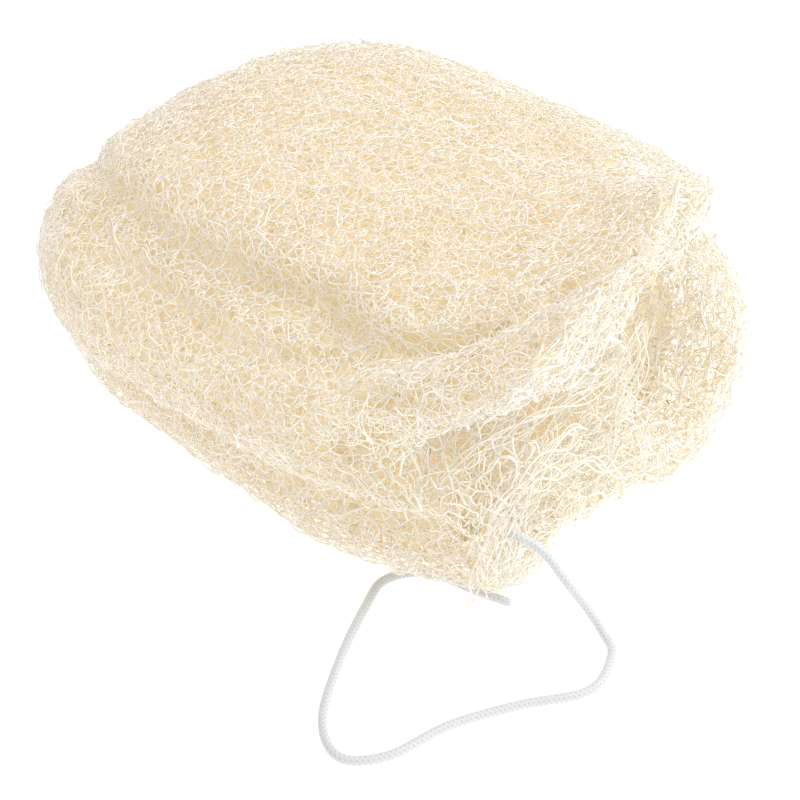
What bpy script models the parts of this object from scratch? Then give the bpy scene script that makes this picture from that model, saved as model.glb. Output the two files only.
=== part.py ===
"""Natural loofah sponge with a white hanging cord.

The sponge is the dried fibre skeleton of one gourd, pressed flat and folded into long lobes, and cut across
at one end. X runs from the rounded end to the cut end, Y across the width and Z up. The coarse raised net
of the skin is modelled as ridges round sunken cells. The cut end is hollowed into the gourd's chambers.
"""
import math

import bpy
import numpy as np

# Driving dimensions of the sponge, in metres.
LENGTH = 0.155
CELL_SPACING = 0.0043
PIT_DEPTH = 0.0021
PIT_VARIATION = (0.75, 1.15)
MOUTH_PIT_SHARE = 0.6
RIM_PIT_SHARE = 0.15
RIDGE_WANDER = 0.0003
SEED = 7

# Section of the sponge at each station, as a share of the way from the rounded end to the cut end.
STATIONS = [0.0, 0.15, 0.35, 0.6, 0.85, 1.0]
HALF_WIDTH = [0.0580, 0.0605, 0.0650, 0.0665, 0.0640, 0.0505]
HALF_HEIGHT = [0.0370, 0.0375, 0.0370, 0.0360, 0.0365, 0.0415]
MID_Y = [-0.0025, 0.0050, 0.0105, 0.0125, 0.0135, 0.0120]
SQUARENESS = 2.7
FOOT_SINK = 0.0015
DOME_SHARE = 0.38
DOME_POWER = 2.3

# Creases between lobes: angle in degrees at each station, depth as a share of the radius, half angle.
CREASES = [
    ([135, 145, 152, 150, 140, 80], [0.15, 0.18, 0.20, 0.22, 0.19, 0.11], 0.15),
    ([163, 156, 160, 161, 157, 154], [0.04, 0.06, 0.09, 0.08, 0.05, 0.02], 0.065),
    ([194, 193, 193, 191, 191, 202], [0.11, 0.14, 0.15, 0.14, 0.13, 0.13], 0.14),
    ([52, 57, 59, 54, 46, 48], [0.05, 0.05, 0.05, 0.05, 0.04, 0.03], 0.16),
    ([5, 5, 14, 4, 4, 26], [0.10, 0.10, 0.10, 0.10, 0.14, 0.20], 0.20),
    ([-38, -38, -38, -38, -38, -39], [0.08, 0.08, 0.08, 0.08, 0.08, 0.08], 0.20),
    ([236, 238, 240, 242, 245, 253], [0.10, 0.10, 0.10, 0.10, 0.12, 0.18], 0.20),
]

# How far each part of the two ends stands out: centre and half angle in degrees, back and front shifts.
END_SHIFTS = [
    (95, 45, 0.0095, -0.0030),
    (60, 20, 0.0005, -0.0110),
    (20, 22, 0.0070, -0.0200),
    (-15, 30, 0.0015, -0.0045),
    (-80, 22, 0.0, -0.0110),
    (-110, 18, 0.0, -0.0090),
    (140, 22, 0.0075, 0.0005),
    (180, 25, 0.0080, -0.0295),
    (225, 15, 0.0065, -0.0065),
]
PUCKER_DEPTH = 0.009
PUCKER_RADIUS = 0.006

# Cut end: the rim's thickness, the dish behind it and the chambers. Each chamber has the middle of its
# opening in Y and Z, half sizes across and up, lean in radians and depth.
MOUTH_MIDDLE = [0.062, 0.010, 0.040]
RIM_WALL = 0.008
MOUTH_RECESS = 0.004
CHAMBERS = [
    (0.040, 0.031, 0.014, 0.016, 0.0, 0.042),
    (0.024, 0.057, 0.0072, 0.0055, -0.3, 0.018),
    (-0.008, 0.015, 0.0070, 0.0064, 0.0, 0.032),
    (-0.024, 0.043, 0.007, 0.007, 0.6, 0.020),
    (-0.002, 0.037, 0.007, 0.006, 0.3, 0.018),
    (0.014, 0.013, 0.006, 0.005, 0.0, 0.012),
]

# Cord: its radius, the spacing of its points and its route from inside the cut end to its blunt free end.
CORD_RADIUS = 0.00105
CORD_STEP = 0.0045
CORD_ROUTE = [
    (0.0328, -0.0080, 0.0150),
    (0.0480, -0.0080, 0.0150),
    (0.0560, -0.0092, 0.0154),
    (0.0615, -0.0135, 0.0172),
    (0.0648, -0.0187, 0.0182),
    (0.0680, -0.0187, 0.0184),
    (0.0712, -0.0175, 0.0172),
    (0.0748, -0.0168, 0.0152),
    (0.0797, -0.0165, 0.0112),
    (0.0845, -0.0148, 0.0052),
    (0.0890, -0.0150, 0.0016),
    (0.0939, -0.0184, 0.0012),
    (0.0961, -0.0289, 0.0012),
    (0.0881, -0.0416, 0.0012),
    (0.0811, -0.0552, 0.0012),
    (0.0773, -0.0688, 0.0012),
    (0.0705, -0.0759, 0.0012),
    (0.0618, -0.0717, 0.0012),
    (0.0537, -0.0581, 0.0012),
    (0.0475, -0.0435, 0.0012),
    (0.0454, -0.0352, 0.0012),
    (0.0507, -0.0272, 0.0012),
    (0.0627, -0.0237, 0.0012),
    (0.0697, -0.0215, 0.0012),
]

# Sampling of the surfaces.
FINE_STEPS = 720
ROW_AVERAGE_ANGLES = 24
ROUTE_STEPS_PER_SPAN = 40
FEWEST_IN_RING = 6
JITTER = 0.26
ROW_JITTER = 0.22
ROW_SPACING = CELL_SPACING * 0.87
FLAT_SPOT_RADIUS = 0.015
FLOOR_TOUCH = 0.00005
RIM_FADE = 0.016


def along(u, values):
    """Smooth curve through values given at STATIONS: a cubic on each span, with slopes shared at its ends."""
    at = np.asarray(STATIONS)
    v = np.asarray(values, float)
    slope = np.gradient(v, at)
    i = np.clip(np.searchsorted(at, u, side="right") - 1, 0, len(at) - 2)
    span = at[i + 1] - at[i]
    t = np.clip((u - at[i]) / span, 0.0, 1.0)
    start = (1 + 2 * t) * (1 - t) ** 2
    end = t * t * (3 - 2 * t)
    leave = t * (1 - t) ** 2
    arrive = t * t * (t - 1)
    return start * v[i] + leave * span * slope[i] + end * v[i + 1] + arrive * span * slope[i + 1]


def turn_between(angle, centre):
    """Angle from centre, brought into the half turn either side of it."""
    return (angle - centre + math.pi) % (2 * math.pi) - math.pi


def skin(angle, u):
    """Smooth skin of the sponge at an angle round its length and a share u of the way to the cut end."""
    angle, u = np.broadcast_arrays(np.asarray(angle, float), np.asarray(u, float))
    wide = np.abs(np.cos(angle) / along(u, HALF_WIDTH)) ** SQUARENESS
    high = np.abs(np.sin(angle) / along(u, HALF_HEIGHT)) ** SQUARENESS
    radius = (wide + high) ** (-1 / SQUARENESS)
    sink = np.zeros_like(radius)
    for crease_angle, depth, half_angle in CREASES:
        off = turn_between(angle, np.radians(along(u, crease_angle)))
        sink = sink + along(u, depth) * np.exp(-(off / half_angle) ** 2)
    dome = (1 - np.clip(1 - u / DOME_SHARE, 0, 1) ** DOME_POWER) ** (1 / DOME_POWER)
    reach = radius * (1 - sink) * dome
    back = np.zeros_like(radius)
    front = np.zeros_like(radius)
    for centre, half_angle, back_shift, front_shift in END_SHIFTS:
        bump = np.exp(-(turn_between(angle, math.radians(centre)) / math.radians(half_angle)) ** 2)
        back = back + back_shift * bump
        front = front + front_shift * bump
    x = LENGTH * (u - 0.5) + back * dome * (1 - u) + front * u
    x = x + PUCKER_DEPTH * np.exp(-(reach / PUCKER_RADIUS) ** 2)
    y = along(u, MID_Y) + reach * np.cos(angle)
    z = along(u, HALF_HEIGHT) - FOOT_SINK + reach * np.sin(angle)
    return np.stack([x, y, np.maximum(z, 0.0)], -1)


def mouth(angle, inward):
    """Cut end: inward is 0 on the rim and 1 at the middle. It falls behind the rim and into the chambers."""
    angle, inward = np.broadcast_arrays(np.asarray(angle, float), np.asarray(inward, float))
    rim = skin(angle, np.ones_like(angle))
    flat = rim + (np.array(MOUTH_MIDDLE) - rim) * inward[..., None]
    from_rim = np.linalg.norm((flat - rim)[..., 1:], axis=-1)
    wall = 1 - np.exp(-(from_rim / RIM_WALL) ** 4)
    depth = MOUTH_RECESS * wall
    for y, z, half_y, half_z, lean, deep in CHAMBERS:
        dy = flat[..., 1] - y
        dz = flat[..., 2] - z
        across = dy * math.cos(lean) + dz * math.sin(lean)
        up = dz * math.cos(lean) - dy * math.sin(lean)
        near = (across / half_y) ** 2 + (up / half_z) ** 2
        depth = depth + deep * np.exp(-near ** 2) * wall
    return flat - depth[..., None] * np.array([1.0, 0.0, 0.0])


def ring_angles(surface, place, rng, shift):
    """Angles of one ring's points, evenly spaced along the ring and then jittered a little."""
    fine = np.linspace(0, 2 * math.pi, FINE_STEPS + 1)
    line = surface(fine, np.full_like(fine, place))
    run = np.concatenate([[0], np.cumsum(np.linalg.norm(np.diff(line, axis=0), axis=1))])
    count = max(FEWEST_IN_RING, int(round(run[-1] / CELL_SPACING)))
    steps = np.arange(count) + shift + rng.uniform(-JITTER, JITTER, count)
    return np.interp(np.clip(steps, 0, count) / count * run[-1], run, fine)


def rows_by_length(surface, spacing):
    """Places from 0 to 1 that are evenly spaced along the surface, on average over all angles."""
    places = np.linspace(0, 1, FINE_STEPS + 1)
    angles = np.linspace(0, 2 * math.pi, ROW_AVERAGE_ANGLES, endpoint=False)
    grid = surface(angles[:, None], places[None, :])
    run = np.linalg.norm(np.diff(grid, axis=1), axis=2).mean(0)
    run = np.concatenate([[0], np.cumsum(run)])
    count = int(round(run[-1] / spacing))
    return np.interp(np.linspace(0, run[-1], count + 1), run, places)


def stitch(first, first_angles, second, second_angles):
    """Triangles between two neighbouring rings, taking the next point round on whichever ring lags."""
    faces = []
    i = 0
    j = 0
    while i < len(first) or j < len(second):
        next_i = first_angles[i + 1] if i + 1 < len(first) else first_angles[0] + 2 * math.pi
        next_j = second_angles[j + 1] if j + 1 < len(second) else second_angles[0] + 2 * math.pi
        a = first[i % len(first)]
        b = second[j % len(second)]
        if j >= len(second) or (i < len(first) and next_i <= next_j):
            faces.append((b, a, first[(i + 1) % len(first)]))
            i += 1
        else:
            faces.append((b, a, second[(j + 1) % len(second)]))
            j += 1
    return faces


def lattice(rng):
    """Points and triangles of the closed skin, ring by ring from the pucker to the middle of the cut end."""
    points = []
    faces = []
    rings = []

    def add_ring(surface, place, row, jitter):
        angles = ring_angles(surface, place, rng, 0.5 * (row % 2) + 0.25)
        wobble = rng.uniform(-jitter, jitter, len(angles))
        line = surface(angles, np.clip(place + wobble, 0.0, 1.0))
        first = sum(len(p) for p in points)
        points.append(line)
        rings.append((list(range(first, first + len(angles))), angles))

    rows = rows_by_length(skin, ROW_SPACING)
    for row in range(1, len(rows)):
        gap = rows[row] - rows[row - 1]
        on_rim = row == len(rows) - 1
        add_ring(skin, rows[row], row, 0.0 if on_rim else gap * ROW_JITTER)
    skin_rings = len(rings)
    inner_rows = rows_by_length(mouth, ROW_SPACING)
    for row in range(1, len(inner_rows) - 1):
        gap = inner_rows[row + 1] - inner_rows[row]
        add_ring(mouth, inner_rows[row], row + skin_rings, gap * ROW_JITTER)
    for (near, near_angles), (far, far_angles) in zip(rings[:-1], rings[1:]):
        faces += stitch(near, near_angles, far, far_angles)
    total = sum(len(p) for p in points)
    points.append(skin(np.zeros(1), np.zeros(1)))
    points.append(mouth(np.zeros(1), np.ones(1)))
    first_ring = rings[0][0]
    last_ring = rings[-1][0]
    for k in range(len(first_ring)):
        faces.append((first_ring[k], total, first_ring[(k + 1) % len(first_ring)]))
    for k in range(len(last_ring)):
        faces.append((total + 1, last_ring[k], last_ring[(k + 1) % len(last_ring)]))
    rim = set(rings[skin_rings - 1][0])
    return np.concatenate(points), np.array(faces), rim


def vertex_normals(points, faces):
    """Area-weighted normal at each point."""
    a, b, c = (points[faces[:, k]] for k in range(3))
    face_normal = np.cross(b - a, c - a)
    normal = np.zeros_like(points)
    for k in range(3):
        np.add.at(normal, faces[:, k], face_normal)
    return normal / np.linalg.norm(normal, axis=1, keepdims=True)


def choose_pits(points, faces, barred, rng):
    """Points to sink: taken in random order, so that no two of them are neighbours."""
    neighbours = [set() for _ in points]
    for a, b, c in faces.tolist():
        neighbours[a].update((b, c))
        neighbours[b].update((a, c))
        neighbours[c].update((a, b))
    closed = set(barred)
    pits = []
    for v in rng.permutation(len(points)).tolist():
        if v not in closed:
            pits.append(v)
            closed.update(neighbours[v])
    return np.array(pits)


def build_sponge():
    """Sponge as one closed mesh, the net's cells sunk between its ridges. Gives back the row's origin."""
    rng = np.random.default_rng(SEED)
    points, faces, rim = lattice(rng)
    normal = vertex_normals(points, faces)
    on_floor = points[:, 2] < FLOOR_TOUCH
    middle = points[on_floor].mean(0)
    flat_spot = on_floor & (np.linalg.norm((points - middle)[:, :2], axis=1) < FLAT_SPOT_RADIUS)
    barred = rim | set(np.nonzero(flat_spot)[0].tolist())
    pits = choose_pits(points, faces, barred, rng)
    lift = rng.uniform(-RIDGE_WANDER, RIDGE_WANDER, len(points))
    from_rim = np.linalg.norm(points[pits][:, None] - points[sorted(rim)][None], axis=2).min(1)
    rim_share = np.clip(from_rim / RIM_FADE, RIM_PIT_SHARE, 1.0) ** 2
    mouth_share = np.where(pits > max(rim), MOUTH_PIT_SHARE, 1.0)
    lift[pits] = -PIT_DEPTH * rng.uniform(*PIT_VARIATION, len(pits)) * rim_share * mouth_share
    lift[on_floor & (lift > -PIT_DEPTH / 2)] = 0.0
    points = points + normal * lift[:, None]
    points[:, 2] = np.maximum(points[:, 2], 0.0)
    low = points.min(0)
    high = points.max(0)
    origin = np.array([(low[0] + high[0]) / 2, (low[1] + high[1]) / 2, low[2]])
    points = points - origin
    mesh = bpy.data.meshes.new("loofah_sponge")
    mesh.from_pydata(points.tolist(), [], faces.tolist())
    mesh.validate()
    mesh.update()
    sponge = bpy.data.objects.new("loofah_sponge", mesh)
    bpy.context.scene.collection.objects.link(sponge)
    sponge.data.materials.append(plain_material("loofah_fibre", (0.90, 0.80, 0.58, 1.0), 0.8))
    for polygon in mesh.polygons:
        polygon.use_smooth = True
    return origin


def plain_material(name, colour, roughness):
    """Principled material of one colour."""
    material = bpy.data.materials.new(name)
    material.use_nodes = True
    shader = material.node_tree.nodes["Principled BSDF"]
    shader.inputs["Base Color"].default_value = colour
    shader.inputs["Roughness"].default_value = roughness
    return material


def smooth_route(route, step):
    """Evenly spaced points on the smooth curve through the route points (a Catmull-Rom curve)."""
    knots = np.array(route)
    knots = np.concatenate([[2 * knots[0] - knots[1]], knots, [2 * knots[-1] - knots[-2]]])
    t = np.linspace(0, 1, ROUTE_STEPS_PER_SPAN, endpoint=False)[:, None]
    pieces = []
    for k in range(1, len(knots) - 2):
        before, start, end, after = knots[k - 1:k + 3]
        pieces.append(0.5 * (2 * start + (end - before) * t
                             + (2 * before - 5 * start + 4 * end - after) * t ** 2
                             + (3 * start - before - 3 * end + after) * t ** 3))
    line = np.concatenate(pieces + [knots[-2:-1]])
    run = np.concatenate([[0], np.cumsum(np.linalg.norm(np.diff(line, axis=0), axis=1))])
    places = np.linspace(0, run[-1], int(round(run[-1] / step)) + 1)
    return np.stack([np.interp(places, run, line[:, k]) for k in range(3)], -1)


def build_cord(origin):
    """Cord as one round tube along its route, with its ends filled."""
    line = smooth_route(CORD_ROUTE, CORD_STEP) - origin
    curve = bpy.data.curves.new("hanging_cord", "CURVE")
    curve.dimensions = "3D"
    curve.bevel_depth = CORD_RADIUS
    curve.bevel_resolution = 2
    curve.use_fill_caps = True
    spline = curve.splines.new("POLY")
    spline.points.add(len(line) - 1)
    for point, place in zip(spline.points, line):
        point.co = (*place, 1.0)
    cord = bpy.data.objects.new("hanging_cord", curve)
    bpy.context.scene.collection.objects.link(cord)
    curve.materials.append(plain_material("white_braid", (0.93, 0.94, 0.95, 1.0), 0.6))
    return cord


for old in list(bpy.data.objects):
    bpy.data.objects.remove(old, do_unlink=True)

sponge_origin = build_sponge()
build_cord(sponge_origin)
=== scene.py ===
"""Natural loofah sponge with a white hanging cord, lying on a pale floor."""
import math

import bpy
import numpy as np
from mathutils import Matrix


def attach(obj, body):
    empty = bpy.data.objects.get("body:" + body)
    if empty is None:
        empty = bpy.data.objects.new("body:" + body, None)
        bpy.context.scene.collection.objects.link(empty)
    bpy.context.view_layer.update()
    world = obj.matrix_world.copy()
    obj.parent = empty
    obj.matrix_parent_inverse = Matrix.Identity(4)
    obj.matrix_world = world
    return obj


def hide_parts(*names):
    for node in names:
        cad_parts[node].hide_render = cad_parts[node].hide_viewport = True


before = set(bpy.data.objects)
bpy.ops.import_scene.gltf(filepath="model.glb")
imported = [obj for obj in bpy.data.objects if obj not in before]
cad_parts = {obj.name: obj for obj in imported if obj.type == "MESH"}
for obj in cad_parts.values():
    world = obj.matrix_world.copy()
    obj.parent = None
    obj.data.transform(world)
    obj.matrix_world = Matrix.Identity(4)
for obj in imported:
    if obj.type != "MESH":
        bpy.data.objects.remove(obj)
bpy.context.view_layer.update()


# ---- Camera ----
# A small studio camera close above the near right corner of the sponge, looking down into the cut end.
# Its place, lens and shift come from laying the sponge's outline over the photo.
CAMERA_AZIMUTH = math.radians(43.33)
CAMERA_ELEVATION = math.radians(38.73)
CAMERA_DISTANCE = 0.4086
CAMERA_TARGET = np.array([0.0001, -0.0114, 0.0291])

camera_data = bpy.data.cameras.new("studio_camera")
camera_data.lens = 79.15
camera_data.sensor_width = 36.0
camera_data.shift_x = 0.0700
camera_data.shift_y = -0.1048
camera_data.clip_start = 0.01
camera_data.clip_end = 20.0
camera = bpy.data.objects.new("studio_camera", camera_data)
bpy.context.scene.collection.objects.link(camera)
camera_back = np.array([
    math.sin(CAMERA_AZIMUTH) * math.cos(CAMERA_ELEVATION),
    -math.cos(CAMERA_AZIMUTH) * math.cos(CAMERA_ELEVATION),
    math.sin(CAMERA_ELEVATION),
])
camera.location = CAMERA_TARGET + camera_back * CAMERA_DISTANCE
camera.rotation_euler = (math.pi / 2 - CAMERA_ELEVATION, 0.0, CAMERA_AZIMUTH)
bpy.context.scene.camera = camera


def linear(hex_colour):
    """Linear colour of an sRGB hex code."""
    values = [int(hex_colour[k:k + 2], 16) / 255 for k in (1, 3, 5)]
    return tuple(v / 12.92 if v <= 0.04045 else ((v + 0.055) / 1.055) ** 2.4 for v in values) + (1.0,)


def add(tree, kind, settings=None, inputs=None, links=None):
    """One node with its settings, its constant inputs and its links from other nodes' sockets."""
    node = tree.nodes.new(kind)
    for name, value in (settings or {}).items():
        setattr(node, name, value)
    for name, value in (inputs or {}).items():
        node.inputs[name].default_value = value
    for name, socket in (links or {}).items():
        tree.links.new(socket, node.inputs[name])
    return node


def mesh_object(name, points, faces, material, smooth=True):
    """Mesh from arrays of points and of triangles or quads, with one material."""
    faces = np.asarray(faces)
    mesh = bpy.data.meshes.new(name)
    mesh.vertices.add(len(points))
    mesh.vertices.foreach_set("co", np.asarray(points, np.float32).ravel())
    mesh.loops.add(faces.size)
    mesh.loops.foreach_set("vertex_index", faces.astype(np.int32).ravel())
    mesh.polygons.add(len(faces))
    mesh.polygons.foreach_set("loop_start", np.arange(0, faces.size, faces.shape[1], dtype=np.int32))
    mesh.polygons.foreach_set("use_smooth", np.full(len(faces), smooth))
    mesh.update(calc_edges=True)
    mesh.materials.append(material)
    thing = bpy.data.objects.new(name, mesh)
    bpy.context.scene.collection.objects.link(thing)
    return thing


# ---- Hanging cord ----
# One white braided nylon cord, 2.1 mm thick. It starts in a chamber of the cut end behind the strands, drops
# over the rim, makes a loose loop on the floor and ends in a blunt, heat-sealed tip by the sponge's foot.

# Where the part's origin lies in the coordinates that the cord's route and the sponge's form are given in.
ROW_ORIGIN = np.array([-0.00010, 0.01142, 0.0])
CORD_RADIUS = 0.00105
CORD_ROUTE = np.array([
    (0.0328, -0.0080, 0.0150),
    (0.0480, -0.0080, 0.0150),
    (0.0560, -0.0092, 0.0154),
    (0.0615, -0.0135, 0.0172),
    (0.0648, -0.0187, 0.0182),
    (0.0680, -0.0187, 0.0184),
    (0.0712, -0.0175, 0.0172),
    (0.0748, -0.0168, 0.0152),
    (0.0797, -0.0165, 0.0112),
    (0.0845, -0.0148, 0.0052),
    (0.0890, -0.0150, 0.0016),
    (0.0939, -0.0184, 0.0012),
    (0.0961, -0.0289, 0.0012),
    (0.0881, -0.0416, 0.0012),
    (0.0811, -0.0552, 0.0012),
    (0.0773, -0.0688, 0.0012),
    (0.0705, -0.0759, 0.0012),
    (0.0618, -0.0717, 0.0012),
    (0.0537, -0.0581, 0.0012),
    (0.0475, -0.0435, 0.0012),
    (0.0454, -0.0352, 0.0012),
    (0.0507, -0.0272, 0.0012),
    (0.0627, -0.0237, 0.0012),
    (0.0697, -0.0215, 0.0012),
])


def smooth_route(route, step):
    """Evenly spaced points on the smooth curve through the route points (a Catmull-Rom curve)."""
    knots = np.concatenate([[2 * route[0] - route[1]], route, [2 * route[-1] - route[-2]]])
    t = np.linspace(0, 1, 60, endpoint=False)[:, None]
    pieces = []
    for k in range(1, len(knots) - 2):
        before, start, end, after = knots[k - 1:k + 3]
        pieces.append(0.5 * (2 * start + (end - before) * t
                             + (2 * before - 5 * start + 4 * end - after) * t ** 2
                             + (3 * start - before - 3 * end + after) * t ** 3))
    line = np.concatenate(pieces + [knots[-2:-1]])
    run = np.concatenate([[0], np.cumsum(np.linalg.norm(np.diff(line, axis=0), axis=1))])
    places = np.linspace(0, run[-1], int(round(run[-1] / step)) + 1)
    return np.stack([np.interp(places, run, line[:, k]) for k in range(3)], -1), run[-1]


def unit(v):
    """Vectors brought to length one."""
    return v / np.maximum(np.linalg.norm(v, axis=-1, keepdims=True), 1e-12)


def braided_tube(line, radius, around, plaits, lay_length):
    """Tube along a line, with its points' heights in the braid from 0 in a groove to 1 on a crest.

    Two families of strands wind round it in opposite ways. Each strand's crest is the cosine of plaits times
    (angle plus or minus the turn by length), and the higher of the two counts. Both ends close in a dome.
    """
    tangent = unit(np.gradient(line, axis=0))
    side = unit(np.cross(np.array([0.0, 0.0, 1.0]), tangent))
    up = np.cross(tangent, side)
    run = np.concatenate([[0], np.cumsum(np.linalg.norm(np.diff(line, axis=0), axis=1))])
    angle = np.linspace(0, 2 * math.pi, around, endpoint=False)[None, :]
    turn = 2 * math.pi * run[:, None] / lay_length
    one = np.cos(plaits * (angle + turn))
    other = np.cos(plaits * (angle - turn))
    crest = np.maximum(one, other)
    end = np.minimum(run, run[-1] - run)[:, None]
    dome = np.sqrt(np.clip(1 - (1 - np.clip(end / radius, 0, 1)) ** 2, 0, 1))
    reach = radius * (0.95 + 0.05 * crest) * np.maximum(dome, 0.02)
    ring = side[:, None] * np.cos(angle)[..., None] + up[:, None] * np.sin(angle)[..., None]
    points = (line[:, None] + ring * reach[..., None]).reshape(-1, 3)
    rows, count = len(line), around
    i = np.arange(rows - 1)[:, None] * count
    j = np.arange(count)[None, :]
    k = (j + 1) % count
    quads = np.stack([i + j, i + k, i + count + k, i + count + j], -1).reshape(-1, 4)
    triangles = np.concatenate([quads[:, [0, 1, 2]], quads[:, [0, 2, 3]]])
    first = np.stack([np.full(count, len(points)), k[0], j[0]], -1)
    end_row = (rows - 1) * count
    last = np.stack([np.full(count, len(points) + 1), end_row + j[0], end_row + k[0]], -1)
    height = np.concatenate([(0.5 + 0.5 * crest).ravel(), [0.5, 0.5]])
    return np.concatenate([points, line[:1], line[-1:]]), np.concatenate([triangles, first, last]), height


# White nylon: pale crests with a soft sheen, and painted shade in the grooves between them, a faint cool
# grey, so the braid reads.
nylon = bpy.data.materials.new("white_nylon_braid")
nylon.use_nodes = True
nylon_tree = nylon.node_tree
nylon_shader = nylon_tree.nodes["Principled BSDF"]
nylon_height = add(nylon_tree, "ShaderNodeAttribute", {"attribute_name": "braid_height"})
# Painted shade: the lower a point lies in the braid's grooves, the greyer it is painted.
nylon_groove_shade_ramp = add(nylon_tree, "ShaderNodeValToRGB", links={"Fac": nylon_height.outputs["Fac"]})
nylon_groove_shade_ramp.color_ramp.elements[0].position = 0.45
nylon_groove_shade_ramp.color_ramp.elements[0].color = linear("#D9DCE0")
nylon_groove_shade_ramp.color_ramp.elements[1].position = 0.9
nylon_groove_shade_ramp.color_ramp.elements[1].color = linear("#E9EBED")
nylon_tree.links.new(nylon_groove_shade_ramp.outputs["Color"], nylon_shader.inputs["Base Color"])
nylon_shader.inputs["Roughness"].default_value = 0.42

cord_line, cord_length = smooth_route(CORD_ROUTE - ROW_ORIGIN, step=0.00023)
cord_points, cord_faces, cord_height = braided_tube(cord_line, CORD_RADIUS, around=24, plaits=4,
                                                    lay_length=0.0042)
cord = mesh_object("braided_hanging_cord", cord_points, cord_faces, nylon)
braid_height = cord.data.attributes.new("braid_height", "FLOAT", "POINT")
braid_height.data.foreach_set("value", cord_height.astype(np.float32))
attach(cord, "root")
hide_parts("hanging_cord")


# ---- Form of the sponge ----
# The smooth outer form that all the layers of fibre follow: one gourd pressed flat, with a rounded end at -X
# and a cut end at +X. Creases run between its lobes, and the cut end falls back into the gourd's chambers.
LENGTH = 0.155
STATIONS = np.array([0.0, 0.15, 0.35, 0.6, 0.85, 1.0])
HALF_WIDTH = [0.0580, 0.0605, 0.0650, 0.0665, 0.0640, 0.0505]
HALF_HEIGHT = [0.0370, 0.0375, 0.0370, 0.0360, 0.0365, 0.0415]
MID_Y = [-0.0025, 0.0050, 0.0105, 0.0125, 0.0135, 0.0120]
SQUARENESS = 2.7
FOOT_SINK = 0.0015
DOME_SHARE = 0.38
DOME_POWER = 2.3
PUCKER_DEPTH = 0.009
PUCKER_RADIUS = 0.006
# Angle in degrees at each station, depth as a share of the radius, and half angle.
CREASES = [
    ([135, 145, 151, 149, 139, 80], [0.13, 0.12, 0.14, 0.17, 0.17, 0.11], 0.115),
    ([163, 156, 160, 161, 157, 154], [0.02, 0.05, 0.085, 0.085, 0.05, 0.02], 0.060),
    ([194, 193, 193, 191, 191, 202], [0.11, 0.14, 0.15, 0.14, 0.13, 0.13], 0.14),
    ([52, 57, 59, 54, 46, 48], [0.05, 0.05, 0.05, 0.05, 0.04, 0.03], 0.16),
    ([5, 5, 14, 4, 4, 26], [0.10, 0.10, 0.10, 0.10, 0.14, 0.20], 0.20),
    ([-38, -38, -38, -38, -38, -39], [0.08, 0.08, 0.08, 0.08, 0.08, 0.08], 0.20),
    ([236, 238, 240, 242, 245, 253], [0.10, 0.10, 0.10, 0.10, 0.12, 0.18], 0.20),
]
# Centre and half angle in degrees, then how far the rounded and the cut end stand out there.
END_SHIFTS = [
    (95, 45, 0.0095, -0.0030),
    (60, 20, 0.0005, -0.0110),
    (20, 22, 0.0070, -0.0200),
    (-15, 30, 0.0015, -0.0045),
    (-80, 22, 0.0, -0.0110),
    (-110, 18, 0.0, -0.0090),
    (140, 22, 0.0075, 0.0005),
    (180, 25, 0.0080, -0.0295),
    (225, 15, 0.0065, -0.0065),
]
MOUTH_MIDDLE = np.array([0.062, 0.010, 0.040])
RIM_WALL = 0.008
MOUTH_RECESS = 0.004
# Middle of the opening in Y and Z, half sizes across and up, lean in radians and depth.
CHAMBERS = [
    (0.040, 0.031, 0.014, 0.016, 0.0, 0.042),
    (0.024, 0.057, 0.0072, 0.0055, -0.3, 0.018),
    (-0.008, 0.015, 0.0070, 0.0064, 0.0, 0.032),
    (-0.024, 0.043, 0.007, 0.007, 0.6, 0.020),
    (-0.002, 0.037, 0.007, 0.006, 0.3, 0.018),
    (0.014, 0.013, 0.006, 0.005, 0.0, 0.012),
]


def along(u, values):
    """Smooth curve through the values at the stations: a cubic on each span, sharing slopes at its ends."""
    v = np.asarray(values, float)
    slope = np.gradient(v, STATIONS)
    i = np.clip(np.searchsorted(STATIONS, u, side="right") - 1, 0, len(STATIONS) - 2)
    span = STATIONS[i + 1] - STATIONS[i]
    t = np.clip((u - STATIONS[i]) / span, 0.0, 1.0)
    start = (1 + 2 * t) * (1 - t) ** 2
    end = t * t * (3 - 2 * t)
    leave = t * (1 - t) ** 2
    arrive = t * t * (t - 1)
    return start * v[i] + leave * span * slope[i] + end * v[i + 1] + arrive * span * slope[i + 1]


def turn_between(angle, centre):
    """Angle from centre, brought into the half turn either side of it."""
    return (angle - centre + math.pi) % (2 * math.pi) - math.pi


def skin(angle, u):
    """Skin at an angle round the length and a share u of the way to the cut end.

    The section is a superellipse, its radius cut back by each crease's Gaussian. A dome closes the rounded
    end, and the ends stand out or back by a sum of Gaussians of the angle.
    """
    wide = np.abs(np.cos(angle) / along(u, HALF_WIDTH)) ** SQUARENESS
    high = np.abs(np.sin(angle) / along(u, HALF_HEIGHT)) ** SQUARENESS
    radius = (wide + high) ** (-1 / SQUARENESS)
    sink = 0.0
    for crease_angle, depth, half_angle in CREASES:
        off = turn_between(angle, np.radians(along(u, crease_angle)))
        sink = sink + along(u, depth) * np.exp(-(off / half_angle) ** 2)
    dome = (1 - np.clip(1 - u / DOME_SHARE, 0, 1) ** DOME_POWER) ** (1 / DOME_POWER)
    reach = radius * (1 - sink) * dome
    back = 0.0
    front = 0.0
    for centre, half_angle, back_shift, front_shift in END_SHIFTS:
        bump = np.exp(-(turn_between(angle, math.radians(centre)) / math.radians(half_angle)) ** 2)
        back = back + back_shift * bump
        front = front + front_shift * bump
    x = LENGTH * (u - 0.5) + back * dome * (1 - u) + front * u
    x = x + PUCKER_DEPTH * np.exp(-(reach / PUCKER_RADIUS) ** 2)
    y = along(u, MID_Y) + reach * np.cos(angle)
    z = along(u, HALF_HEIGHT) - FOOT_SINK + reach * np.sin(angle)
    return np.stack([x, y, np.maximum(z, 0.0)], -1) - ROW_ORIGIN


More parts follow.
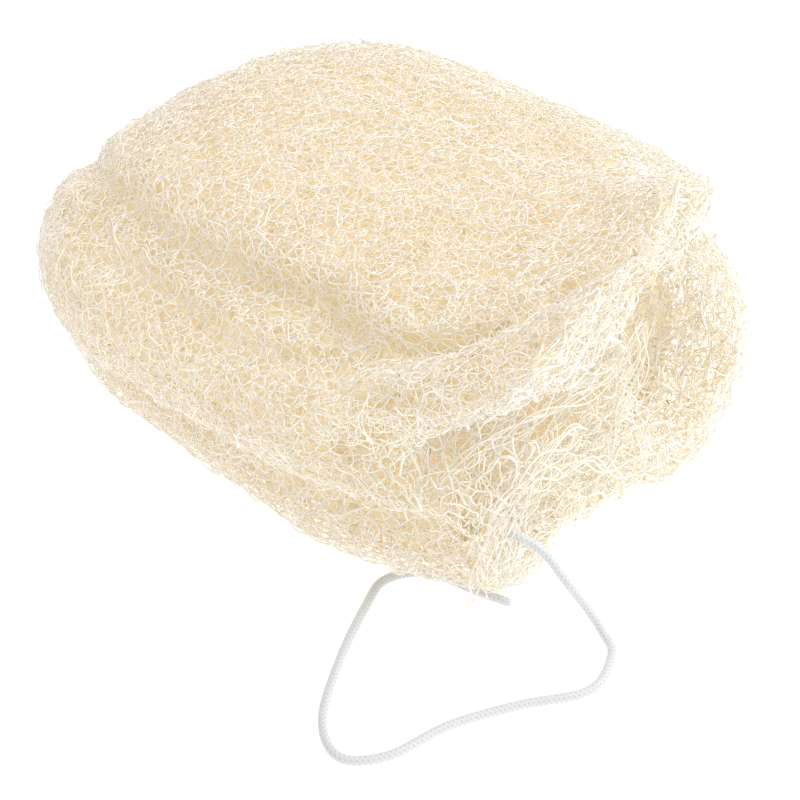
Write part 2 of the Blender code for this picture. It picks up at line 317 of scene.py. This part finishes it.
def share_off(points, chamber, wider=0.0):
    """Squared distance from a chamber's middle, in shares of its half sizes, which may be taken wider.

    The two shares are measured along the chamber's leaning axes, and the points are taken before ROW_ORIGIN.
    """
    y, z, half_y, half_z, lean, _ = chamber
    dy = points[..., 1] - y
    dz = points[..., 2] - z
    across = dy * math.cos(lean) + dz * math.sin(lean)
    up = dz * math.cos(lean) - dy * math.sin(lean)
    return (across / (half_y + wider)) ** 2 + (up / (half_z + wider)) ** 2


def mouth(angle, inward):
    """Cut end: inward is 0 on the rim and 1 at the middle.

    It falls back behind the rim's wall, and each chamber adds its depth times exp(-(share off) squared).
    """
    rim = skin(angle, np.ones_like(angle + inward)) + ROW_ORIGIN
    flat = rim + (MOUTH_MIDDLE - rim) * (inward + 0 * angle)[..., None]
    from_rim = np.linalg.norm((flat - rim)[..., 1:], axis=-1)
    wall = 1 - np.exp(-(from_rim / RIM_WALL) ** 4)
    depth = MOUTH_RECESS * wall
    for chamber in CHAMBERS:
        depth = depth + chamber[-1] * np.exp(-share_off(flat, chamber) ** 2) * wall
    return flat - depth[..., None] * np.array([1.0, 0.0, 0.0]) - ROW_ORIGIN


def surface_normal(surface, angle, place):
    """Outward normal of a surface, from its slopes round and along it."""
    step = 1e-4
    low = np.clip(place - step, 0, 1)
    high = np.clip(place + step, 0, 1)
    round_slope = surface(angle + step, place) - surface(angle - step, place)
    along_slope = surface(angle, high) - surface(angle, low)
    return unit(np.cross(round_slope, along_slope))


# ---- How the fibres are laid ----
# Every layer is a net: points are scattered over the form, near ones are joined, and each join becomes a thin
# fibre that runs smoothly on through its two points into the fibres that lie opposite.

# Points tried for each one a layer has room for, and the shortest and longest distance joined, as shares of
# the layer's spacing.
POINTS_TRIED = 2.6
CLOSEST = 0.74
FARTHEST = 2.4
# The thin wall beside the large chamber: the angle of its middle, its half angle, and where it begins.
THIN_WALL_MIDDLE = math.radians(12)
THIN_WALL_HALF = math.radians(28)
THIN_WALL_START = 0.78


def scatter(surface, count, rng, low=0.0, high=1.0):
    """Random angles and places on a surface, so that every bit of its area gets as many, and that area."""
    angle = np.linspace(0, 2 * math.pi, 361)
    place = np.linspace(low, high, 241)
    grid = surface(angle[None, :], place[:, None])
    across = np.linalg.norm(np.diff(grid, axis=1), axis=2)
    down = np.linalg.norm(np.diff(grid, axis=0), axis=2)
    area = 0.5 * (across[1:] + across[:-1]) * 0.5 * (down[:, 1:] + down[:, :-1])
    cell = np.searchsorted(np.cumsum(area.ravel()) / area.sum(), rng.random(count))
    row, column = np.divmod(np.minimum(cell, area.size - 1), area.shape[1])
    chosen_place = low + (row + rng.random(count)) * (high - low) / area.shape[0]
    chosen_angle = (column + rng.random(count)) * 2 * math.pi / area.shape[1]
    return chosen_angle, chosen_place, area.sum()


def close_pairs(points, reach):
    """Index pairs of points nearer than reach. Points are sorted into cubes, and near cubes compared."""
    cube = np.floor((points - points.min(0)) / reach).astype(np.int64) + 1
    size = cube.max(0) + 2
    key = (cube[:, 0] * size[1] + cube[:, 1]) * size[2] + cube[:, 2]
    order = np.argsort(key, kind="stable")
    ordered = key[order]
    found = []
    steps = np.stack(np.meshgrid([-1, 0, 1], [-1, 0, 1], [-1, 0, 1], indexing="ij"), -1).reshape(-1, 3)
    for step in steps[13:]:
        other = key + (step[0] * size[1] + step[1]) * size[2] + step[2]
        start = np.searchsorted(ordered, other, "left")
        count = np.searchsorted(ordered, other, "right") - start
        i = np.repeat(np.arange(len(points)), count)
        rank = np.arange(count.sum()) - np.repeat(np.cumsum(count) - count, count)
        j = order[np.repeat(start, count) + rank]
        keep = (j > i) if not step.any() else np.ones(len(i), bool)
        i, j = i[keep], j[keep]
        near = np.linalg.norm(points[i] - points[j], axis=1) < reach
        found.append(np.stack([i[near], j[near]], -1))
    return np.concatenate(found)


def thin_out(points, gap, rng):
    """Which points stay so that no two lie nearer than gap: each round keeps those that rank first nearby."""
    pairs = close_pairs(points, gap)
    rank = rng.permutation(len(points))
    open_point = np.ones(len(points), bool)
    kept = np.zeros(len(points), bool)
    while open_point.any():
        live = pairs[open_point[pairs[:, 0]] & open_point[pairs[:, 1]]]
        first = open_point.copy()
        loser = np.where(rank[live[:, 0]] > rank[live[:, 1]], live[:, 0], live[:, 1])
        first[loser] = False
        kept |= first
        open_point &= ~first
        touched = np.concatenate([live[first[live[:, 0]], 1], live[first[live[:, 1]], 0]])
        open_point[touched] = False
    return kept


def table_of(items, owners, count):
    """For each owner, its items in a padded row, with -1 where there are no more."""
    order = np.argsort(owners, kind="stable")
    sorted_owner = owners[order]
    start = np.searchsorted(sorted_owner, np.arange(count))
    rank = np.arange(len(owners)) - start[sorted_owner]
    table = np.full((count, rank.max() + 1), -1)
    table[sorted_owner, rank] = items[order]
    return table


def join_near(points, reach, strictness):
    """Pairs to join: those with no third point in the lens between them. A stricter lens leaves fewer."""
    pairs = close_pairs(points, reach)
    both = np.concatenate([pairs, pairs[:, ::-1]])
    table = table_of(both[:, 1], both[:, 0], len(points))
    i, j = pairs[:, 0], pairs[:, 1]
    third = table[i]
    length = np.linalg.norm(points[i] - points[j], axis=1)[:, None]
    half = strictness / 2
    one = points[i] * (1 - half) + points[j] * half
    other = points[i] * half + points[j] * (1 - half)
    place = points[third]
    near_one = np.linalg.norm(place - one[:, None], axis=2) < half * length
    near_other = np.linalg.norm(place - other[:, None], axis=2) < half * length
    inside = near_one & near_other & (third >= 0) & (third != j[:, None])
    return pairs[~inside.any(axis=1)]


def fibres(points, pairs, radius, spread, bow, parts, rng):
    """Three-sided fibres along the joins, each of so many straight parts and closed at its ends.

    At a point, a fibre's direction is the mean of its own and that of the fibre most nearly opposite, so that
    fibres run on smoothly. Between, it follows a cubic with those end directions, pushed aside by bow times
    two sines, and it is kept above the floor.
    """
    both = np.concatenate([pairs, pairs[:, ::-1]])
    out = unit(points[both[:, 1]] - points[both[:, 0]])
    table = table_of(np.arange(len(both)), both[:, 0], len(points))
    rivals = table[both[:, 0]]
    facing = np.einsum("ik,imk->im", out, out[rivals])
    facing[rivals < 0] = 2.0
    best = facing.argmin(1)
    rows = np.arange(len(both))
    partner = out[rivals[rows, best]]
    opposite = (facing[rows, best] < -0.25)[:, None]
    heading = np.where(opposite, unit(out - partner), out)
    n = len(pairs)
    start, end = points[pairs[:, 0]][:, None], points[pairs[:, 1]][:, None]
    t0, t1 = heading[:n, None], -heading[n:, None]
    length = np.linalg.norm(end - start, axis=2, keepdims=True)
    t = np.linspace(0, 1, parts + 1)[None, :, None]
    centre = start * (1 + 2 * t) * (1 - t) ** 2 + end * (3 - 2 * t) * t ** 2
    centre = centre + 1.5 * length * (t0 * t * (1 - t) ** 2 - t1 * t ** 2 * (1 - t))
    centre = centre + rng.normal(0, bow, (n, 1, 3)) * length * np.sin(math.pi * t)
    centre = centre + rng.normal(0, 0.5 * bow, (n, 1, 3)) * length * np.sin(2 * math.pi * t)
    centre[..., 2] = np.maximum(centre[..., 2], radius)
    direction = unit(np.gradient(centre, axis=1)) if parts > 1 else np.concatenate([t0, t1], 1)
    direction[:, :1], direction[:, -1:] = t0, t1
    lean = np.cross(unit(end - start), rng.normal(0, 1, (n, 1, 3)))
    thick = radius * np.exp(rng.normal(0, spread, (n, 1, 1))) * (1 - 0.12 * np.sin(math.pi * t))
    side = unit(np.cross(direction, lean))
    up = np.cross(direction, side)
    corner = np.arange(3) * 2 * math.pi / 3
    ring = side[:, :, None] * np.cos(corner)[:, None] + up[:, :, None] * np.sin(corner)[:, None]
    verts = (centre[:, :, None] + ring * thick[..., None]).reshape(-1, 3)
    faces = (np.arange(n)[:, None, None] * 3 * (parts + 1) + tube_pattern(parts + 1)[None]).reshape(-1, 3)
    return verts, faces


def tube_pattern(rings):
    """Triangles of one closed three-sided tube of so many rings."""
    a = np.array([0, 1, 2])
    b = np.array([1, 2, 0])
    wall = np.concatenate([np.stack([a, b, b + 3], -1), np.stack([a, b + 3, a + 3], -1)])
    walls = (np.arange(rings - 1)[:, None, None] * 3 + wall[None]).reshape(-1, 3)
    end = 3 * (rings - 1)
    return np.concatenate([walls, [[0, 2, 1]], [[end, end + 1, end + 2]]])


def spots_under(surface, spacing, top, bottom, radius, rng, last=1.0):
    """Random points between two depths under a surface and above the floor, with their angles and places."""
    area = scatter(surface, 10, rng, 0.0, last)[2]
    angle, place, _ = scatter(surface, int(area / spacing ** 2 * POINTS_TRIED), rng, 0.0, last)
    depth = rng.uniform(top, bottom, len(angle))
    spots = surface(angle, place) - surface_normal(surface, angle, place) * depth[:, None]
    spots[:, 2] = np.maximum(spots[:, 2], radius)
    return spots, angle, place


def skin_layer(spacing, top, bottom, radius, strictness, seed, bow, parts=2, above=0.0, last=1.0):
    """One layer of net between two depths under the skin: its fibres' points and faces, above a given height.

    Layers of one-part fibres are the deep ones, and they are left out of the thin wall.
    """
    rng = np.random.default_rng(seed)
    spots, angle, place = spots_under(skin, spacing, top, bottom, radius, rng, last)
    in_wall = (np.abs(turn_between(angle, THIN_WALL_MIDDLE)) < THIN_WALL_HALF) & (place > THIN_WALL_START)
    spots = spots[(spots[:, 2] >= above) & ~(in_wall & (parts == 1))]
    spots = spots[thin_out(spots, spacing * CLOSEST, rng)]
    pairs = join_near(spots, spacing * FARTHEST, strictness)
    return fibres(spots, pairs, radius, spread=0.16, bow=bow, parts=parts, rng=rng)


def tubes(paths, radius, inside):
    """Three-sided tubes along paths of equally many points, each thinner towards its ends and closed there.

    Their corners are turned by the direction away from a point inside the sponge, which the paths run across.
    """
    count, steps = paths.shape[:2]
    direction = unit(np.gradient(paths, axis=1))
    lean = np.broadcast_to(unit(paths[:, :1] - inside), direction.shape)
    side = unit(np.cross(direction, lean))
    up = np.cross(direction, side)
    taper = 1 - 0.45 * np.abs(np.linspace(-1, 1, steps)) ** 4
    thick = (radius[:, None] * taper)[..., None, None]
    corner = np.arange(3) * 2 * math.pi / 3
    ring = side[:, :, None] * np.cos(corner)[:, None] + up[:, :, None] * np.sin(corner)[:, None]
    verts = (paths[:, :, None] + ring * thick).reshape(-1, 3)
    faces = (np.arange(count)[:, None, None] * (3 * steps) + tube_pattern(steps)[None]).reshape(-1, 3)
    return verts, faces


def wander(surface, count, steps, step, curl, lift, sink, rng, first=0.0, last=1.0):
    """Paths that wander over a surface. At every step the heading turns by a curl that itself drifts slowly.

    A step in space is turned into steps of angle and place by least squares on the surface's two slopes. Each
    path floats between lift above and sink below the surface, as a sine that turns by 0.9 a step. The curl
    keeps 0.75 of itself and gains 0.66 of a new one, so its spread stays. Paths that jump are left out.
    """
    angle, place, _ = scatter(surface, count, rng, first, last)
    turn = rng.uniform(0, 2 * math.pi, count)
    bend = rng.normal(0, curl, count)
    phase = rng.uniform(0, 2 * math.pi, count)
    path = []
    for k in range(steps):
        small = 1e-3
        low = np.clip(place - small, 0, 1)
        high = np.clip(place + small, 0, 1)
        by_angle = (surface(angle + small, place) - surface(angle - small, place)) / (2 * small)
        by_place = (surface(angle, high) - surface(angle, low)) / (high - low)[:, None]
        normal = unit(np.cross(by_angle, by_place))
        float_share = 0.5 + 0.5 * np.sin(phase + k * 0.9)
        path.append(surface(angle, place) + normal * (lift - (lift + sink) * float_share)[:, None])
        east = unit(by_angle)
        north = np.cross(normal, east)
        move = (east * np.cos(turn)[:, None] + north * np.sin(turn)[:, None]) * step
        aa = (by_angle ** 2).sum(1)
        ab = (by_angle * by_place).sum(1)
        bb = (by_place ** 2).sum(1)
        ma = (by_angle * move).sum(1)
        mb = (by_place * move).sum(1)
        det = np.maximum(aa * bb - ab ** 2, 0.02 * aa * bb)
        angle = angle + (ma * bb - mb * ab) / det
        place = np.clip(place + (mb * aa - ma * ab) / det, 0.002, last)
        bend = 0.75 * bend + rng.normal(0, 0.66 * curl, count)
        turn = turn + bend
    path = np.stack(path, 1)
    jump = np.linalg.norm(np.diff(path, axis=1), axis=2).max(1)
    path = path[jump < 2.2 * step]
    path[..., 2] = np.maximum(path[..., 2], 0.0002)
    return path


# Loofah fibre: pale cream. The light that thin fibre passes on is painted in as a faint warm glow. Deeper
# layers are painted warmer, with a more amber glow, as painted shade, so gaps read as straw and amber. Slow
# patches of tone keep the skin from looking flat.
def fibre_material(name, pale, warm, glow, glow_strength, roughness):
    """Dry plant fibre, mottled slowly between two colours over about 12 mm, with a painted glow."""
    material = bpy.data.materials.new(name)
    material.use_nodes = True
    tree = material.node_tree
    shader = tree.nodes["Principled BSDF"]
    place = add(tree, "ShaderNodeTexCoord")
    slow = add(tree, "ShaderNodeTexNoise", inputs={"Scale": 85.0, "Detail": 3.0},
               links={"Vector": place.outputs["Object"]})
    ramp = add(tree, "ShaderNodeValToRGB", links={"Fac": slow.outputs["Fac"]})
    ramp.color_ramp.elements[0].position = 0.35
    ramp.color_ramp.elements[0].color = linear(warm)
    ramp.color_ramp.elements[1].position = 0.62
    ramp.color_ramp.elements[1].color = linear(pale)
    tree.links.new(ramp.outputs["Color"], shader.inputs["Base Color"])
    shader.inputs["Roughness"].default_value = roughness
    shader.inputs["Emission Color"].default_value = linear(glow)
    shader.inputs["Emission Strength"].default_value = glow_strength
    return material


# Painted light and shade: every layer's glow is painted light, and the warmer colours and glow of the middle,
# deep and chamber layers are painted shade.
outer_fibre = fibre_material("outer_loofah_fibre", "#FCF8F0", "#FAF4E8", "#FFF4E6", 0.17, 0.5)
middle_fibre = fibre_material("middle_loofah_fibre_painted_shade", "#FBF4E6", "#F8EEDC", "#FFF1DC", 0.18, 0.6)
cut_end_fibre = fibre_material("cut_end_loofah_fibre", "#FBF8F0", "#F9F4E8", "#FFF5E6", 0.16, 0.5)
deep_fibre = fibre_material("deep_loofah_fibre_painted_shade", "#F8F0DA", "#F4E7C8", "#FFF0D0", 0.16, 0.7)
chamber_fibre = fibre_material("chamber_loofah_fibre_painted_shade", "#FAF2E0", "#F5E9CC", "#FFEAC2", 0.20, 0.7)


# ---- Outer net ----
# The outermost fibres of the skin, about 0.35 mm thick with openings of 1.5 to 3 mm. It is one grown net,
# kept in an upper and a lower piece only so that neither mesh is too heavy.
SPLIT_HEIGHT = 0.036
FIBRE_CORNERS = 9
outer_points, outer_faces = skin_layer(spacing=0.0019, top=0.0002, bottom=0.0009, radius=0.00017,
                                       strictness=1.2, seed=11, bow=0.08)
outer_points = outer_points.reshape(-1, FIBRE_CORNERS, 3)
outer_faces = outer_faces.reshape(len(outer_points), -1, 3)
fibre_height = outer_points[:, FIBRE_CORNERS // 2, 2]
for piece_name, chosen in (
    ("outer_net_upper", fibre_height > SPLIT_HEIGHT),
    ("outer_net_lower", fibre_height <= SPLIT_HEIGHT),
):
    shift = (np.nonzero(chosen)[0] - np.arange(chosen.sum())) * FIBRE_CORNERS
    faces = (outer_faces[chosen] - shift[:, None, None]).reshape(-1, 3)
    piece = mesh_object(piece_name, outer_points[chosen].reshape(-1, 3), faces, outer_fibre)
    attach(piece, "root")
    if piece_name == "outer_net_upper":
        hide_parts("loofah_sponge")


# ---- Loose curls of the skin ----
# Long single fibres of the same gourd that wander over the net in loops and arcs, woven in and out of it.
# They soften its outline, where they stand off as a light fuzz.
rng = np.random.default_rng(31)
paths = wander(skin, count=750, steps=11, step=0.0015, curl=0.45, lift=0.0004, sink=0.0008, rng=rng,
               first=0.01, last=0.99)
points, faces = tubes(paths, 0.00016 * np.exp(rng.normal(0, 0.15, len(paths))), paths.mean((0, 1)))
curls = mesh_object("skin_curls", points, faces, outer_fibre)
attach(curls, "root")


# ---- Inner nets ----
# Three more layers of the same grown net under the outer one. They cross it at other angles, each is a little
# coarser than the one above it, and the deepest is painted the warmest, as painted shade. The two deepest
# stop short of the underside.
for name, spacing, top, bottom, radius, strictness, seed, parts, above, material in (
    ("second_net", 0.00245, 0.0011, 0.0021, 0.00018, 1.25, 12, 2, 0.0, middle_fibre),
    ("third_net", 0.0025, 0.0023, 0.0034, 0.00021, 1.25, 13, 1, 0.0045, middle_fibre),
    ("fourth_net", 0.0029, 0.0036, 0.0052, 0.00026, 1.25, 14, 1, 0.0065, deep_fibre),
):
    points, faces = skin_layer(spacing, top, bottom, radius, strictness, seed, 0.10, parts, above, last=0.985)
    piece = mesh_object(name, points, faces, material)
    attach(piece, "root")


# ---- Nets and strands of the cut end ----
# The cut end shows the gourd's inner walls: two nets that line the chambers, their warmth painted shade, a
# veil and two layers of pale strands that fan up from the lower lip in front of them, with openings that are
# long along the strands, and loose curls. All are the same grown fibre, and they tie the chambers' walls
# together.
BEHIND_CUT_END = np.array([-0.5, 0.0, 0.03])
CUT_END_BOW = 0.13
# The point low on the lip that the strands fan out from, in Y and Z, and the distance from it at which a turn
# in the fan's layout is as long as it is on the sponge.
FAN_Y = -0.034
FAN_Z = 0.004
FAN_RADIUS = 0.034
FAN_SHORTENING = 0.45
# Half sizes in Y and Z of the gap in the nets that the cord comes out of.
CORD_GAP_Y = 0.0035
CORD_GAP_Z = 0.0024


def fan(points):
    """Points laid out by the strands' fan: X, a shortened distance from its point and the angle round it."""
    y = points[:, 1] + ROW_ORIGIN[1] - FAN_Y
    z = points[:, 2] - FAN_Z
    return np.stack([points[:, 0], FAN_SHORTENING * np.hypot(y, z), FAN_RADIUS * np.arctan2(z, y)], -1)


def mouth_layer(surface, layout, spacing, depths, radius, spread, strictness, seed, pocket, parts):
    """One net between two depths behind a surface of the cut end, left open in the chambers' pockets.

    Which points are near each other is judged after the layout, so that a layout that shortens one direction
    makes openings that are long in it.
    """
    rng = np.random.default_rng(seed)
    spots = spots_under(surface, spacing, *depths, radius, rng)[0]
    spots = spots[~in_a_pocket(spots, pocket)]
    spots = spots[thin_out(layout(spots), spacing * CLOSEST, rng)]
    pairs = join_near(layout(spots), spacing * FARTHEST, strictness)
    return fibres(spots, pairs, radius, spread, CUT_END_BOW, parts, rng)


def part_way(share):
    """Surface across the small chambers' openings: a share of their depth, but the large one's in full."""
    def surface(angle, inward):
        full = mouth(angle, inward)
        rim = skin(angle, np.ones_like(angle + inward))
        flat = rim + (MOUTH_MIDDLE - ROW_ORIGIN - rim) * (inward + 0 * angle)[..., None]
        near = share_off(flat + ROW_ORIGIN, CHAMBERS[0])
        kept = share + (1 - share) * np.exp(-(0.8 * near) ** 2)
        x = flat[..., 0] + (full[..., 0] - flat[..., 0]) * kept
        return np.stack([x, flat[..., 1], flat[..., 2]], -1)
    return surface


def in_a_pocket(points, size):
    """Which points lie in the cord's gap or in a small chamber's opening, its half sizes taken times size."""
    off = points - (CORD_ROUTE[5] - ROW_ORIGIN)
    found = (off[:, 1] / CORD_GAP_Y) ** 2 + (off[:, 2] / CORD_GAP_Z) ** 2 < 1
    for chamber in CHAMBERS[1:]:
        found |= share_off(points + ROW_ORIGIN, chamber) < size ** 2
    return found


for name, material, surface, layout, spacing, depths, radius, spread, strictness, seed, pocket, parts in (
    ("chamber_net", chamber_fibre, mouth, np.copy,
     0.0028, (0.0003, 0.0012), 0.00020, 0.2, 1.2, 21, 0.0, 2),
    ("chamber_second_net", chamber_fibre, mouth, np.copy,
     0.0034, (0.0018, 0.0034), 0.00024, 0.2, 1.2, 22, 0.0, 2),
    ("chamber_veil", cut_end_fibre, part_way(0.5), fan,
     0.0031, (-0.0010, 0.0020), 0.00021, 0.25, 1.2, 26, 0.45, 3),
    ("chamber_fine_strands", cut_end_fibre, part_way(0.12), fan,
     0.0024, (0.0, 0.0030), 0.00021, 0.3, 1.2, 24, 0.6, 3),
    ("chamber_strands", cut_end_fibre, part_way(0.12), fan,
     0.0036, (-0.0014, 0.0012), 0.00024, 0.35, 1.15, 23, 0.35, 4),
):
    points, faces = mouth_layer(surface, layout, spacing, depths, radius, spread, strictness, seed, pocket,
                                parts)
    piece = mesh_object(name, points, faces, material)
    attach(piece, "root")

rng = np.random.default_rng(25)
paths = wander(part_way(0.12), count=150, steps=14, step=0.0015, curl=0.46, lift=0.0016, sink=0.0016, rng=rng,
               first=0.03, last=0.95)
points, faces = tubes(paths, 0.00020 * np.exp(rng.normal(0, 0.25, len(paths))), BEHIND_CUT_END)
piece = mesh_object("chamber_curls", points, faces, cut_end_fibre)
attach(piece, "root")


# ---- Strand bundles of the cut end ----
# The thickest, whitest fibres of the cut end: a few loose bundles from the lower lip and across the openings
# towards the far side. Their fibres swing apart and meet again, which leaves oval gaps between them.
def bundle(route, count, swing, steps, rng):
    """Fibres along one route, each swinging from side to side of it as a sine, with a phase of its own.

    The swing is larger towards the two ends, so that the fibres splay into the net there.
    """
    line = smooth_route(np.array(route) - ROW_ORIGIN, 0.0004)[0]
    share = np.linspace(0, 1, steps)
    middle = np.stack([np.interp(share, np.linspace(0, 1, len(line)), line[:, k]) for k in range(3)], -1)
    across = unit(np.cross(np.gradient(middle, axis=0), np.array([1.0, 0.0, 0.0])))
    phase = rng.uniform(0, 2 * math.pi, (count, 1))
    waves = rng.uniform(3.0, 5.0, (count, 1))
    lift = rng.normal(0, 0.5 * swing, (count, 1)) * np.cos(share[None] * math.pi + phase)
    sway = swing * rng.uniform(0.4, 1.2, (count, 1)) * np.sin(share[None] * math.pi * waves + phase)
    sway = sway * (0.7 + 1.6 * np.abs(share - 0.5))[None]
    return middle[None] + sway[..., None] * across[None] + lift[..., None] * np.array([1.0, 0.0, 0.0])


rng = np.random.default_rng(41)
bundle_points = []
bundle_faces = []
placed = 0
for route, count, swing in (
    ([(0.0680, -0.0312, 0.0080), (0.0662, -0.0280, 0.0170), (0.0650, -0.0228, 0.0235),
      (0.0645, -0.0150, 0.0285), (0.0645, -0.0050, 0.0305), (0.0640, 0.0080, 0.0300)], 7, 0.0024),
    ([(0.0520, -0.0330, 0.0300), (0.0555, -0.0200, 0.0350), (0.0580, -0.0095, 0.0370),
      (0.0610, 0.0030, 0.0380), (0.0640, 0.0170, 0.0400), (0.0640, 0.0270, 0.0470)], 6, 0.0028),
    ([(0.0650, 0.0150, 0.0060), (0.0655, 0.0165, 0.0180), (0.0665, 0.0190, 0.0290),
      (0.0670, 0.0210, 0.0400), (0.0660, 0.0240, 0.0500)], 6, 0.0024),
    ([(0.0650, -0.0180, 0.0255), (0.0655, -0.0085, 0.0250), (0.0650, 0.0010, 0.0220),
      (0.0655, 0.0150, 0.0140), (0.0690, 0.0270, 0.0080)], 5, 0.0024),
):
    paths = bundle(route, count, swing, steps=34, rng=rng)
    points, faces = tubes(paths, 0.00022 * np.exp(rng.normal(0, 0.3, count)), BEHIND_CUT_END)
    bundle_points.append(points)
    bundle_faces.append(faces + placed)
    placed += len(points)
bundles = mesh_object("strand_bundles", np.concatenate(bundle_points), np.concatenate(bundle_faces),
                      cut_end_fibre)
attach(bundles, "root")


# ---- Deep mat ----
# The tangle of fibres in the thick of the sponge, too deep to see one by one: one closed, felted body about
# 7 mm under the skin and behind the cut end. It keeps well back from the thin wall and the cut end's upper
# flange, which light passes.
BEHIND_MOUTH = 0.004
CHAMBER_WALL = 0.005


def deep_mat(rows, inner_rows, around, depth):
    """Closed surface under the nets: the skin drawn in to its core by depth, then the cut end taken back.

    The body stops at 90 % of the length, and sooner by a Gaussian of the angle at the thin wall and at the
    flange. Behind the cut end each chamber is wider by CHAMBER_WALL, and only the deepest one counts at each
    point. The first third of the way in from the rim blends the two.
    """
    angle = np.linspace(0, 2 * math.pi, around, endpoint=False)[None, :]
    wall = np.exp(-(turn_between(angle, math.radians(15)) / math.radians(38)) ** 2)
    flange = np.exp(-(turn_between(angle, math.radians(125)) / math.radians(45)) ** 2)
    last = 0.90 - 0.14 * wall - 0.04 * flange
    place = (np.linspace(0.0, 1.0, rows) ** 1.3)[1:, None] * last
    body = skin(angle, place)
    core_y = along(place, MID_Y) - ROW_ORIGIN[1] + 0 * angle
    core_z = along(place, HALF_HEIGHT) - FOOT_SINK + 0 * angle
    core = np.stack([np.maximum(body[..., 0], -0.045), core_y, core_z], -1)
    body = body + unit(core - body) * depth
    from_rim = 0.15 + 0.17 * flange
    inward = from_rim + (1 - from_rim) * np.linspace(0.0, 1.0, inner_rows)[:-1, None]
    rim = skin(angle, np.ones_like(angle))
    face = rim + (MOUTH_MIDDLE - ROW_ORIGIN - rim) * inward[..., None]
    face[..., 0] = np.minimum(face[..., 0], MOUTH_MIDDLE[0] - ROW_ORIGIN[0])
    back = np.zeros(face.shape[:2])
    for chamber in CHAMBERS:
        near = share_off(face + ROW_ORIGIN, chamber, wider=CHAMBER_WALL)
        back = np.maximum(back, chamber[-1] * np.exp(-near ** 2))
    face[..., 0] -= MOUTH_RECESS + BEHIND_MOUTH + back
    edge = np.clip(inward / 0.35, 0, 1)[..., None]
    face = face * edge + (body[-1][None] + (face - body[-1][None]) * inward[..., None]) * (1 - edge)
    centre = face[-1].mean(0)
    points = np.concatenate([body, face]).reshape(-1, 3)
    points[:, 2] = np.maximum(points[:, 2], 0.002)
    total = len(body) + len(face)
    i = np.arange(total - 1)[:, None] * around
    j = np.arange(around)[None, :]
    k = (j + 1) % around
    quads = np.stack([i + j, i + around + j, i + around + k, i + k], -1).reshape(-1, 4)
    triangles = np.concatenate([quads[:, [0, 2, 1]], quads[:, [0, 3, 2]]])
    first = np.stack([np.full(around, len(points)), k[0], j[0]], -1)
    last_ring = (total - 1) * around
    last_fan = np.stack([np.full(around, len(points) + 1), last_ring + j[0], last_ring + k[0]], -1)
    start = skin(np.zeros(1), np.zeros(1)) + np.array([depth, 0.0, 0.0])
    return np.concatenate([points, start, centre[None]]), np.concatenate([triangles, first, last_fan])


# Felted fibre: amber straw, partly the fibre's own colour and partly painted shade of the depths, with a
# paler tangle of lines about 2 mm apart, so that no smooth wall shows. Its warm glow is painted light.
mat_material = bpy.data.materials.new("felted_deep_fibre_painted_shade")
mat_material.use_nodes = True
mat_tree = mat_material.node_tree
mat_shader = mat_tree.nodes["Principled BSDF"]
mat_place = add(mat_tree, "ShaderNodeTexCoord")
mat_cells = add(mat_tree, "ShaderNodeTexVoronoi", {"feature": "DISTANCE_TO_EDGE"}, {"Scale": 520.0},
                {"Vector": mat_place.outputs["Object"]})
mat_ramp = add(mat_tree, "ShaderNodeValToRGB", links={"Fac": mat_cells.outputs["Distance"]})
mat_ramp.color_ramp.elements[0].position = 0.02
mat_ramp.color_ramp.elements[0].color = linear("#F7EED6")
mat_ramp.color_ramp.elements[1].position = 0.25
mat_ramp.color_ramp.elements[1].color = linear("#F0E2C0")
mat_tree.links.new(mat_ramp.outputs["Color"], mat_shader.inputs["Base Color"])
mat_shader.inputs["Roughness"].default_value = 0.9
# Painted light: a warm glow, though the mat is no lamp.
mat_shader.inputs["Emission Color"].default_value = linear("#FFECBE")
mat_shader.inputs["Emission Strength"].default_value = 0.14

mat_points, mat_faces = deep_mat(rows=64, inner_rows=30, around=110, depth=0.0074)
mat = mesh_object("deep_fibre_mat", mat_points, mat_faces, mat_material)
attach(mat, "root")


# ---- Floor and light ----
# A plain white sweep and an even white surround, with one large soft lamp above and to the right, as in a
# product shot: hardly any shadow, and only the creases and the lobes' undersides a little darker.
floor_material = bpy.data.materials.new("white_sweep")
floor_material.use_nodes = True
floor_shader = floor_material.node_tree.nodes["Principled BSDF"]
floor_shader.inputs["Base Color"].default_value = linear("#F6F6F6")
floor_shader.inputs["Roughness"].default_value = 0.9
floor_shader.inputs["Emission Color"].default_value = (1.0, 1.0, 1.0, 1.0)
floor_shader.inputs["Emission Strength"].default_value = 0.50
floor = mesh_object(
    "floor",
    np.array([(-3.0, -3.0, 0.0), (3.0, -3.0, 0.0), (3.0, 3.0, 0.0), (-3.0, 3.0, 0.0)]),
    np.array([(0, 1, 2, 3)]),
    floor_material,
    smooth=False,
)

world = bpy.data.worlds.new("white_surround")
world.use_nodes = True
world_back = world.node_tree.nodes["Background"]
world_back.inputs["Color"].default_value = (1.0, 1.0, 1.0, 1.0)
world_back.inputs["Strength"].default_value = 0.645
bpy.context.scene.world = world

lamp_data = bpy.data.lights.new("large_soft_lamp", "AREA")
lamp_data.shape = "DISK"
lamp_data.size = 0.9
lamp_data.energy = 5.7
lamp_data.color = (1.0, 1.0, 1.0)
lamp = bpy.data.objects.new("large_soft_lamp", lamp_data)
bpy.context.scene.collection.objects.link(lamp)
lamp.location = (0.45, 0.40, 0.85)
# Turned to face the sponge: 25 degrees about X and about Y.
LAMP_TURN = 0.44
lamp.rotation_euler = (-LAMP_TURN, LAMP_TURN, 0.0)

bpy.context.scene.view_settings.view_transform = "Standard"
bpy.context.scene.view_settings.look = "None"
bpy.context.scene.view_settings.exposure = 0.0
